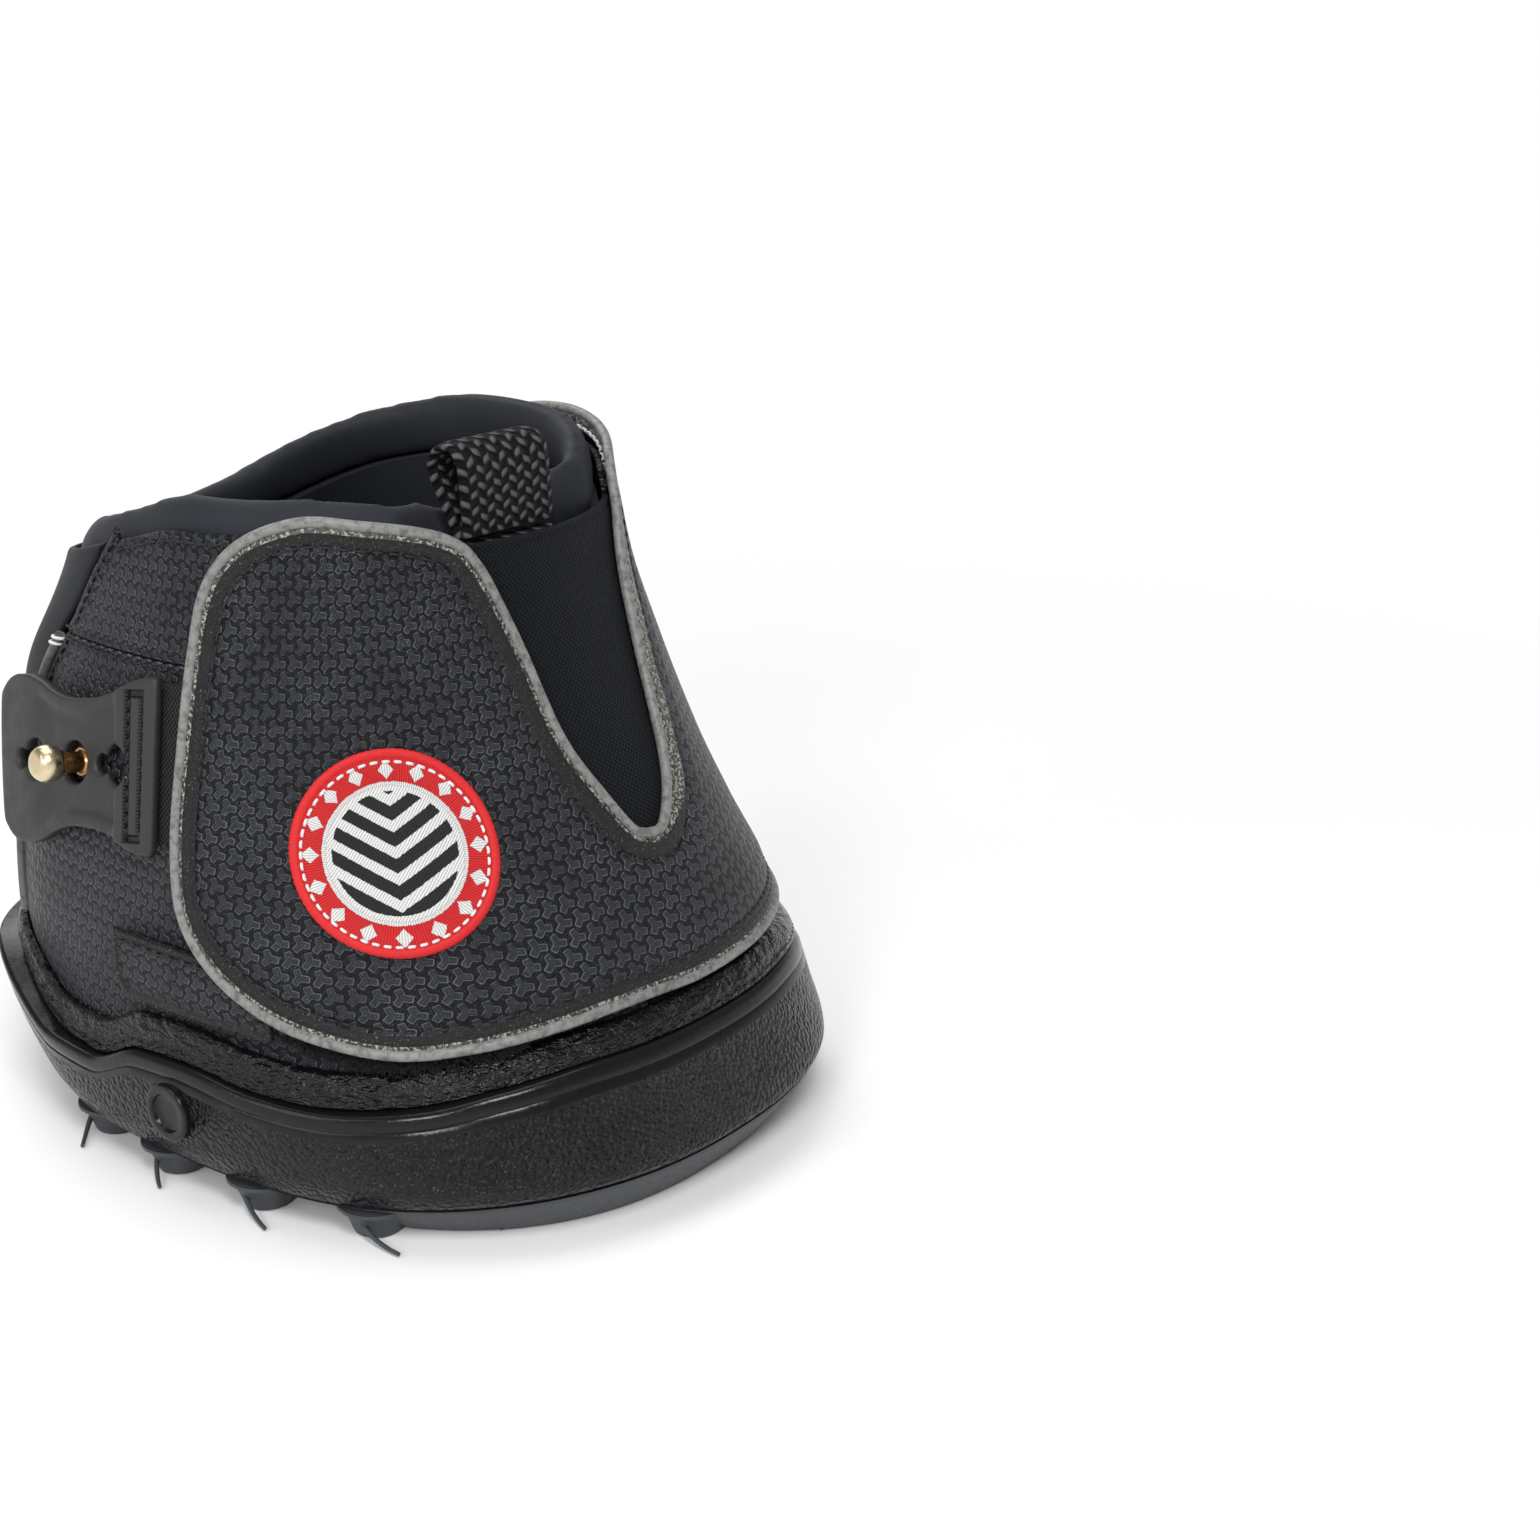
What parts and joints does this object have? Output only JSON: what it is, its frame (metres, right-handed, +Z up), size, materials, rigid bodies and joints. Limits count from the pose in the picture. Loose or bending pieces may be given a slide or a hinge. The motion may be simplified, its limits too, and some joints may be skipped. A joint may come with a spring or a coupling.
{
  "type": "horse hoof boot",
  "caption": "Black padded hoof boot for a horse, with a rubber tread, a wrap-over front wing, a rubber strap tab hooked on a brass stud, a stretch collar and a pull loop.",
  "frame": {"origin": "bottom centre of the bounding box, on the ground under the middle of the boot", "axes": "+Z up, +Y from the toe towards the heel along the boot's length, +X towards the inner side of the leg, so that the strap tab is on the -X side"},
  "size_m": [0.1492, 0.1784, 0.1462],
  "materials": {
    "moulded_rubber": "glossy black outsole wall with a pebbled leather grain",
    "tread_rubber": "smooth matte dark grey tread rubber",
    "rand_vinyl": "satin to glossy black coated strip, stitched",
    "embossed_synthetic": "black synthetic upper embossed with small interlocking three-armed bricks",
    "neoprene": "smooth blue-black laminated neoprene",
    "ribbed_elastic": "finely ribbed black woven elastic",
    "webbing": "coarse black woven webbing",
    "fuzzy_loop_tape": "black hook and loop tape with a fuzzy pile",
    "reflective_piping": "pale grey reflective piping with a speckled flange",
    "tab_rubber": "semi-matte moulded dark grey rubber",
    "brass": "turned brass, polished face",
    "embroidery": "embroidered badge in red, black and white thread with an overlocked rim",
    "foam": "black closed cell foam with a brushed cloth face"
  },
  "bodies": {
    "boot_body": {"sole_cup": "moulded_rubber", "tread": "tread_rubber", "insole_pad": "foam", "rand": "rand_vinyl", "liner": "foam", "collar_roll": "neoprene", "elastic_gusset": "ribbed_elastic", "lateral_quarter_lower": "embossed_synthetic", "lateral_quarter_upper": "embossed_synthetic", "medial_quarter": "embossed_synthetic", "heel_panel": "embossed_synthetic", "heel_piping_lateral": "reflective_piping", "heel_piping_medial": "reflective_piping", "front_cover": "embossed_synthetic", "cover_piping": "reflective_piping", "side_loop_patch": "fuzzy_loop_tape", "quarter_strip": "rand_vinyl", "pull_loop_tail": "webbing", "strap_anchor": "ribbed_elastic", "stud": "brass", "stud_nut": "brass"},
    "front_wing": {"wing": "embossed_synthetic", "wing_piping": "reflective_piping", "wing_hook_patch": "fuzzy_loop_tape", "badge_patch": "embroidery"},
    "strap_band": {"strap_elastic": "ribbed_elastic"},
    "strap_end": {"strap_tab": "tab_rubber"},
    "finger_loop": {"pull_loop": "webbing"}
  },
  "joints": [
    {"name": "wing_peel", "type": "hinge", "parent": "boot_body", "child": "front_wing", "pos_m": [0.00266, -0.06996, 0.05465], "axis": [-0.0054, 0.4779, 0.8784], "range_deg": [0, 95]},
    {"name": "strap_swing", "type": "hinge", "parent": "boot_body", "child": "strap_band", "pos_m": [-0.06165, 0.00183, 0.088], "axis": [0.201, 0.1571, 0.9669], "range_deg": [0, 32]},
    {"name": "strap_stretch", "type": "slide", "parent": "strap_band", "child": "strap_end", "axis": [0.0627, 0.9834, -0.1705], "range_m": [0, 0.0024]},
    {"name": "pull_loop_tilt", "type": "hinge", "parent": "boot_body", "child": "finger_loop", "pos_m": [-0.00159, -0.03104, 0.1273], "axis": [1, 0, 0], "range_deg": [-6, 35]}
  ],
  "couplings": [
    {"joint": "strap_stretch", "follows": "strap_swing", "m_per_rad": 0.004}
  ]
}
